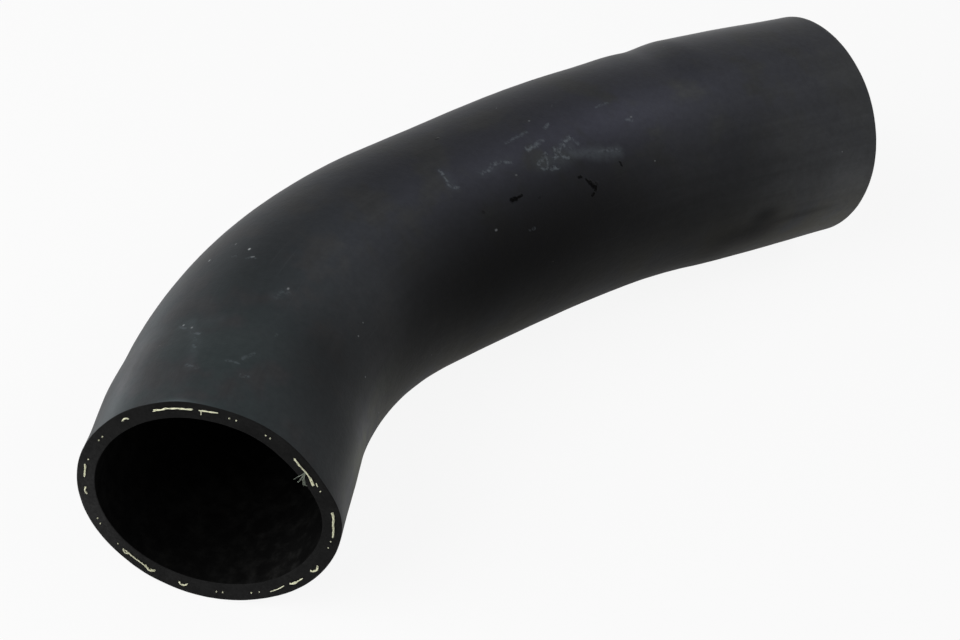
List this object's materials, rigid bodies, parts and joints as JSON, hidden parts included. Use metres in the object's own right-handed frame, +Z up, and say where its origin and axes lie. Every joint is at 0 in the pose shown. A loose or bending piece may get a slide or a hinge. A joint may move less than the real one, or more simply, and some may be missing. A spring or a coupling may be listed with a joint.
{
  "type": "air intake hose",
  "caption": "Moulded rubber intake hose, bent twice, with a plain narrow end and a flared wider cuff, lying on its side.",
  "frame": {"origin": "centre of the bounding box in plan, at the ground that the hose lies on", "axes": "-Y is the outward normal of the cut face at the narrow end; the bends turn towards +X in the ground plane; +Z up"},
  "size_m": [0.208, 0.2692, 0.077],
  "materials": {
    "rubber": "matte black moulded rubber",
    "yarn": "pale cream reinforcing yarn, cut ends"
  },
  "bodies": {
    "root": {"intake_hose": "rubber"}
  },
  "joints": []
}
